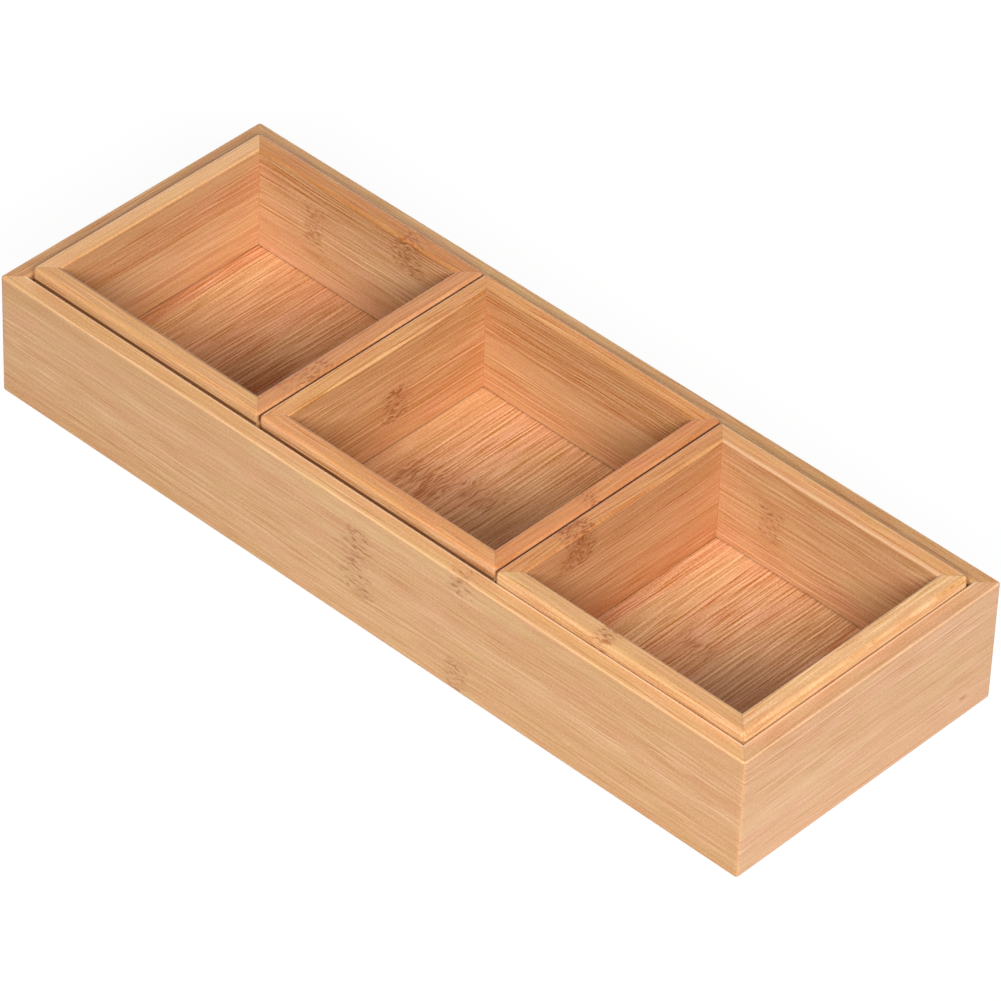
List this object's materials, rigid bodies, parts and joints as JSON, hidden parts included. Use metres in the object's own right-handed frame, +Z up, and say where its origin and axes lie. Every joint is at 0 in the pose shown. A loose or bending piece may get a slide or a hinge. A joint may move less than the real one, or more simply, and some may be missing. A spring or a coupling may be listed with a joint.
{
  "type": "compartment tray",
  "caption": "Long bamboo tray with mitred boards that holds loose, square, open-top bamboo boxes side by side, each to be lifted out by its rim.",
  "frame": {"origin": "under the middle of the tray, on the surface that it stands on", "axes": "+X along the tray to its right end, -Y to the long face at the front, +Z up"},
  "size_m": [0.3104, 0.1128, 0.049],
  "materials": {
    "bamboo_board": "caramel bamboo strip board, planed smooth, thin clear satin coat",
    "bamboo_floor": "caramel bamboo strip panel, planed smooth, thin clear satin coat"
  },
  "bodies": {
    "tray": {"tray_wall_front": "bamboo_board", "tray_wall_right": "bamboo_board", "tray_wall_back": "bamboo_board", "tray_wall_left": "bamboo_board", "tray_floor": "bamboo_floor"},
    "box_left": {"box_left_wall_front": "bamboo_board", "box_left_wall_right": "bamboo_board", "box_left_wall_back": "bamboo_board", "box_left_wall_left": "bamboo_board", "box_left_floor": "bamboo_floor"},
    "box_middle": {"box_middle_wall_front": "bamboo_board", "box_middle_wall_right": "bamboo_board", "box_middle_wall_back": "bamboo_board", "box_middle_wall_left": "bamboo_board", "box_middle_floor": "bamboo_floor"},
    "box_right": {"box_right_wall_front": "bamboo_board", "box_right_wall_right": "bamboo_board", "box_right_wall_back": "bamboo_board", "box_right_wall_left": "bamboo_board", "box_right_floor": "bamboo_floor"}
  },
  "joints": [
    {"name": "box_left_lift", "type": "slide", "parent": "tray", "child": "box_left", "axis": [0, 0, 1], "range_m": [0, 0.05]},
    {"name": "box_middle_lift", "type": "slide", "parent": "tray", "child": "box_middle", "axis": [0, 0, 1], "range_m": [0, 0.05]},
    {"name": "box_right_lift", "type": "slide", "parent": "tray", "child": "box_right", "axis": [0, 0, 1], "range_m": [0, 0.05]}
  ]
}
